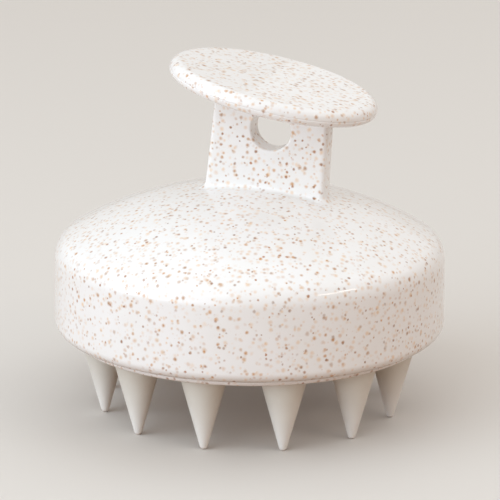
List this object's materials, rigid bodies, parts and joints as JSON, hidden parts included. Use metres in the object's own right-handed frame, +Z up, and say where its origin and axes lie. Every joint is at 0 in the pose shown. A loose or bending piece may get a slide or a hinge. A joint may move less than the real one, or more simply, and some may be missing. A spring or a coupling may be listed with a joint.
{
  "type": "scalp massager",
  "caption": "Round hand-held shampoo brush: a domed shell with a pierced neck and a tilted palm disc, over rings of soft silicone cones that lean at their roots.",
  "frame": {"origin": "on the round body's axis, at the plane that the long bristles' tips stand on", "axes": "+Z up along the body's axis; X along the neck plate, with the palm disc's low end towards +X; the neck's faces look along -Y and +Y"},
  "size_m": [0.085, 0.085, 0.0775],
  "materials": {
    "speckled_plastic": "glossy off-white moulded plastic with fine brown plant-fibre specks",
    "plain_plastic": "unspecked off-white moulded plastic, satin",
    "silicone": "smooth matte warm-grey silicone",
    "screw_steel": "stainless"
  },
  "bodies": {
    "brush_head": {"dome_shell": "speckled_plastic", "palm_disc": "speckled_plastic", "base_plate": "speckled_plastic", "bristle_retainer": "plain_plastic", "retainer_screw_1": "screw_steel", "retainer_screw_2": "screw_steel", "retainer_screw_3": "screw_steel"},
    "bristle_01": {"bristle_01": "silicone"},
    "bristle_02": {"bristle_02": "silicone"},
    "bristle_03": {"bristle_03": "silicone"},
    "bristle_04": {"bristle_04": "silicone"},
    "bristle_05": {"bristle_05": "silicone"},
    "bristle_06": {"bristle_06": "silicone"},
    "bristle_07": {"bristle_07": "silicone"},
    "bristle_08": {"bristle_08": "silicone"},
    "bristle_09": {"bristle_09": "silicone"},
    "bristle_10": {"bristle_10": "silicone"},
    "bristle_11": {"bristle_11": "silicone"},
    "bristle_12": {"bristle_12": "silicone"},
    "inner_bristle_01": {"inner_bristle_01": "silicone"},
    "inner_bristle_02": {"inner_bristle_02": "silicone"},
    "inner_bristle_03": {"inner_bristle_03": "silicone"},
    "inner_bristle_04": {"inner_bristle_04": "silicone"},
    "inner_bristle_05": {"inner_bristle_05": "silicone"},
    "inner_bristle_06": {"inner_bristle_06": "silicone"},
    "centre_bristle": {"centre_bristle": "silicone"}
  },
  "joints": [
    {"name": "bristle_01_lean", "type": "hinge", "parent": "brush_head", "child": "bristle_01", "pos_m": [0, -0.0321, 0.02], "axis": [-1, 0, 0], "range_deg": [-12, 12], "stiffness_Nm_per_rad": 0.06},
    {"name": "bristle_02_lean", "type": "hinge", "parent": "brush_head", "child": "bristle_02", "pos_m": [0.01605, -0.0278, 0.02], "axis": [-0.866, -0.5, 0], "range_deg": [-12, 12], "stiffness_Nm_per_rad": 0.06},
    {"name": "bristle_03_lean", "type": "hinge", "parent": "brush_head", "child": "bristle_03", "pos_m": [0.0278, -0.01605, 0.02], "axis": [-0.5, -0.866, 0], "range_deg": [-12, 12], "stiffness_Nm_per_rad": 0.06},
    {"name": "bristle_04_lean", "type": "hinge", "parent": "brush_head", "child": "bristle_04", "pos_m": [0.0321, 0, 0.02], "axis": [0, -1, 0], "range_deg": [-12, 12], "stiffness_Nm_per_rad": 0.06},
    {"name": "bristle_05_lean", "type": "hinge", "parent": "brush_head", "child": "bristle_05", "pos_m": [0.0278, 0.01605, 0.02], "axis": [0.5, -0.866, 0], "range_deg": [-12, 12], "stiffness_Nm_per_rad": 0.06},
    {"name": "bristle_06_lean", "type": "hinge", "parent": "brush_head", "child": "bristle_06", "pos_m": [0.01605, 0.0278, 0.02], "axis": [0.866, -0.5, 0], "range_deg": [-12, 12], "stiffness_Nm_per_rad": 0.06},
    {"name": "bristle_07_lean", "type": "hinge", "parent": "brush_head", "child": "bristle_07", "pos_m": [0, 0.0321, 0.02], "axis": [1, 0, 0], "range_deg": [-12, 12], "stiffness_Nm_per_rad": 0.06},
    {"name": "bristle_08_lean", "type": "hinge", "parent": "brush_head", "child": "bristle_08", "pos_m": [-0.01605, 0.0278, 0.02], "axis": [0.866, 0.5, 0], "range_deg": [-12, 12], "stiffness_Nm_per_rad": 0.06},
    {"name": "bristle_09_lean", "type": "hinge", "parent": "brush_head", "child": "bristle_09", "pos_m": [-0.0278, 0.01605, 0.02], "axis": [0.5, 0.866, 0], "range_deg": [-12, 12], "stiffness_Nm_per_rad": 0.06},
    {"name": "bristle_10_lean", "type": "hinge", "parent": "brush_head", "child": "bristle_10", "pos_m": [-0.0321, 0, 0.02], "axis": [0, 1, 0], "range_deg": [-12, 12], "stiffness_Nm_per_rad": 0.06},
    {"name": "bristle_11_lean", "type": "hinge", "parent": "brush_head", "child": "bristle_11", "pos_m": [-0.0278, -0.01605, 0.02], "axis": [-0.5, 0.866, 0], "range_deg": [-12, 12], "stiffness_Nm_per_rad": 0.06},
    {"name": "bristle_12_lean", "type": "hinge", "parent": "brush_head", "child": "bristle_12", "pos_m": [-0.01605, -0.0278, 0.02], "axis": [-0.866, 0.5, 0], "range_deg": [-12, 12], "stiffness_Nm_per_rad": 0.06},
    {"name": "inner_bristle_01_lean", "type": "hinge", "parent": "brush_head", "child": "inner_bristle_01", "pos_m": [0, -0.016, 0.02], "axis": [-1, 0, 0], "range_deg": [-8, 8], "stiffness_Nm_per_rad": 0.08},
    {"name": "inner_bristle_02_lean", "type": "hinge", "parent": "brush_head", "child": "inner_bristle_02", "pos_m": [0.01386, -0.008, 0.02], "axis": [-0.5, -0.866, 0], "range_deg": [-8, 8], "stiffness_Nm_per_rad": 0.08},
    {"name": "inner_bristle_03_lean", "type": "hinge", "parent": "brush_head", "child": "inner_bristle_03", "pos_m": [0.01386, 0.008, 0.02], "axis": [0.5, -0.866, 0], "range_deg": [-8, 8], "stiffness_Nm_per_rad": 0.08},
    {"name": "inner_bristle_04_lean", "type": "hinge", "parent": "brush_head", "child": "inner_bristle_04", "pos_m": [0, 0.016, 0.02], "axis": [1, 0, 0], "range_deg": [-8, 8], "stiffness_Nm_per_rad": 0.08},
    {"name": "inner_bristle_05_lean", "type": "hinge", "parent": "brush_head", "child": "inner_bristle_05", "pos_m": [-0.01386, 0.008, 0.02], "axis": [0.5, 0.866, 0], "range_deg": [-8, 8], "stiffness_Nm_per_rad": 0.08},
    {"name": "inner_bristle_06_lean", "type": "hinge", "parent": "brush_head", "child": "inner_bristle_06", "pos_m": [-0.01386, -0.008, 0.02], "axis": [-0.5, 0.866, 0], "range_deg": [-8, 8], "stiffness_Nm_per_rad": 0.08},
    {"name": "centre_bristle_lean", "type": "hinge", "parent": "brush_head", "child": "centre_bristle", "pos_m": [0, 0, 0.02], "axis": [-1, 0, 0], "range_deg": [-8, 8], "stiffness_Nm_per_rad": 0.08}
  ]
}
